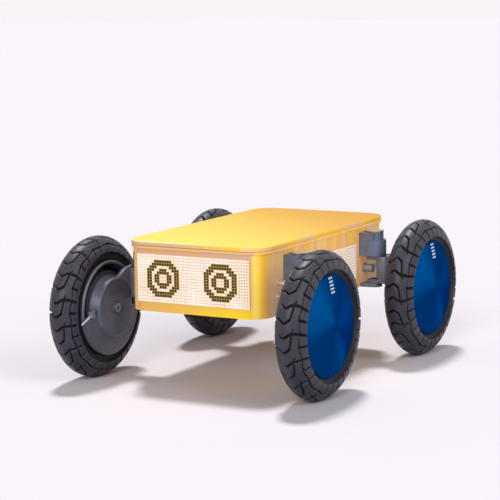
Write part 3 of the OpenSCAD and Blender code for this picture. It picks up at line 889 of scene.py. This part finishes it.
def make_knuckle(corner, sx, sy):
    """Ears and post on the steering axis, a cast neck and the motor's round cover."""
    body = "steer_" + corner
    corner_axes = Matrix.Diagonal((sx, sy, 1)).to_4x4()
    upright = corner_axes @ Matrix.Translation(KINGPIN)
    post = corner_axes @ Matrix.Translation(POST)
    along = Matrix(((0, 0, 1), (1, 0, 0), (0, 1, 0))).to_4x4()     # Z out, Y up, X lengthways
    sideways = corner_axes @ along
    axle = corner_axes @ Matrix.Translation((0, axle_y, axle_z)) @ along
    block = axle @ Matrix.Rotation(math.radians(BLOCK_TURN), 4, "Z")
    block = block @ Matrix.Translation((BLOCK_R, 0, 0))

    casting = [slab(stadium(EAR_REACH, end, end), low, high, EAR_ROUND, upright)
               for end, low, high in EARS]
    casting.append(turned(mm(BARREL), 48, post))
    casting.append(slab(smooth_outline(NECK), *NECK_SLAB, sideways))
    casting.append(slab(mm(BLOCK), *BLOCK_SLAB, block, 3))
    puck = mm(HUB) + quarter(*FACE_EDGE, -90, -20, 8) + mm(BACK)
    covers = [turned(puck, 96, axle), swept_part(mm(PLATE), *PLATE_SWEEP, 60, axle)]

    verts, faces = join_shells(covers)
    obj = add_piece("motor_cover_" + corner, verts, faces, body)
    dress(sharpen(obj, SHARP), FINISHES["motor"])
    verts, faces = join_shells(casting)
    obj = add_piece("knuckle_casting_" + corner, verts, faces, body, ["knuckle_" + corner])
    dress(sharpen(obj, SHARP), FINISHES["knuckle"])
    lean = block @ Matrix.Translation(ROD_FOOT)
    lean = lean @ Matrix.Rotation(math.radians(ROD_TURN), 4, "Z")
    lean = lean @ Matrix.Rotation(math.radians(ROD_LEAN), 4, "Y")
    verts, faces = turned(mm(ROD), 20, lean)
    obj = add_piece("sensor_rod_" + corner, verts, faces, body)
    dress(sharpen(obj, SHARP), FINISHES["rod"])


# ---- carried-over solids ----

def dress_nodes(names, finish, rounding=0.0):
    """Gives solids that keep their shape a finish, and some of them rounded edges."""
    for name in names:
        dress(nodes[name], FINISHES[finish])
        if rounding:
            soften_edges(nodes[name], rounding)


def at_corners(stem):
    return [stem + "_" + corner for corner in CORNERS]


# ---- scene ----

FLOOR_HALF = 30.0
AIM = (0, -0.0435, 0.2195)             # what the camera looks at
AZIMUTH, ELEVATION, ROLL = 29.57, 8.44, -0.99      # degrees
DISTANCE = 3.2064
LENS = 127.25                          # millimetres, on a sensor 36 wide


def make_floor():
    """A plain pale floor."""
    mesh = bpy.data.meshes.new("floor")
    corners = [(-FLOOR_HALF, -FLOOR_HALF, 0), (FLOOR_HALF, -FLOOR_HALF, 0),
               (FLOOR_HALF, FLOOR_HALF, 0), (-FLOOR_HALF, FLOOR_HALF, 0)]
    mesh.from_pydata(corners, [], [(0, 1, 2, 3)])
    floor = bpy.data.objects.new("floor", mesh)
    bpy.context.scene.collection.objects.link(floor)
    f = Finish("floor_pale", roughness=0.9, specular_ior_level=0.02)
    colour = f.mix(f.noise(f.where(), 1.2, 2.0) * 0.4, paint("E3DDE2"), paint("DFD9DF"))
    dress(floor, f.feed(Base_Color=colour))


def make_world():
    """Plain pale surroundings: what is seen, also in metal, is paler than what lights the scene."""
    world = bpy.data.worlds.new("studio")
    bpy.context.scene.world = world
    world.use_nodes = True
    studio = Nodes(world.node_tree)
    studio.tree.nodes.remove(studio.tree.nodes["Background"])
    light = studio.add("ShaderNodeBackground", {}, (0.93, 0.94, 1.0, 1.0), 0.26)
    seen = studio.add("ShaderNodeBackground", {}, paint("FAF4F8"), 1.0)
    direct, glossy, through = (
        studio.add("ShaderNodeLightPath", {}, out=ray)
        for ray in ("Is Camera Ray", "Is Glossy Ray", "Is Transmission Ray"))
    shown = studio.add("ShaderNodeMixShader", {}, direct.above(glossy).above(through), light, seen)
    studio.feed_world(shown)


def add_sun(name, towards, power, spread, colour=(1, 1, 1)):
    """Even light that comes from one side; a wide spread gives soft shadows."""
    sun = bpy.data.lights.new(name, "SUN")
    sun.energy = power
    sun.angle = math.radians(spread)
    sun.color = colour
    obj = bpy.data.objects.new(name, sun)
    obj.rotation_euler = Vector(towards).to_track_quat("Z", "Y").to_euler()
    bpy.context.scene.collection.objects.link(obj)


def make_camera():
    azimuth, elevation, roll = (math.radians(angle) for angle in (AZIMUTH, ELEVATION, ROLL))
    level = math.cos(elevation)
    back = Vector((math.sin(azimuth) * level, -math.cos(azimuth) * level, math.sin(elevation)))
    right = (-back).cross(Vector((0, 0, 1))).normalized()
    up = right.cross(-back)
    turned_right = right * math.cos(roll) + up * math.sin(roll)
    turned_up = up * math.cos(roll) - right * math.sin(roll)
    camera = bpy.data.cameras.new("camera")
    camera.lens = LENS
    camera.sensor_width = 36
    camera.clip_end = 100
    obj = bpy.data.objects.new("camera", camera)
    axes = Matrix((turned_right, turned_up, back)).transposed().to_4x4()
    obj.matrix_world = Matrix.Translation(Vector(AIM) + back * DISTANCE) @ axes
    bpy.context.scene.collection.objects.link(obj)
    bpy.context.scene.camera = obj


dress_nodes(["body_shell"], "shell", 0.0012)
make_lid()
make_display("front_dots", "front_display", FRONT_GRID, 0.0, half_l, front_low.z, EYES)
make_display("left_dots", "left_display", SIDE_GRID, math.pi / 2, half_w, side_low.z)
make_display("right_dots", "right_display", SIDE_GRID, -math.pi / 2, half_w, side_low.z)
for corner, (sx, sy) in CORNERS.items():
    make_tyre(corner, sx, sy)
    make_wheel_cover(corner, sx, sy)
    make_knuckle(corner, sx, sy)
dress_nodes(["lid_seal"], "seal")
dress_nodes(["inner_frame"], "steel")
dress_nodes(["battery_pack", "charge_port", "base_cover"], "dark")
dress_nodes(["cable_glands"], "gland")
dress_nodes(["control_board"], "circuit")
dress_nodes(["base_screws", "side_bolts"], "bright")
dress_nodes(at_corners("housing"), "housing")
dress_nodes(at_corners("cap"), "cap", 0.0006)
dress_nodes(at_corners("lower_arm"), "knuckle", 0.0008)
dress_nodes(at_corners("kingpins"), "steel")
dress_nodes(at_corners("axle"), "nut", 0.0004)
dress_nodes(at_corners("stator"), "winding")
dress_nodes(at_corners("rim"), "rim")
dress_nodes(at_corners("bearings"), "steel")
make_floor()
make_world()
add_sun("key", (-0.35, 0.5, 1.6), 2.35, 9)
add_sun("front", (0.3, -1.4, 0.75), 1.2, 25)
add_sun("fill", (1.4, -0.3, 0.9), 0.85, 30, (0.96, 0.98, 1.0))
make_camera()
bpy.context.scene.view_settings.view_transform = "Standard"
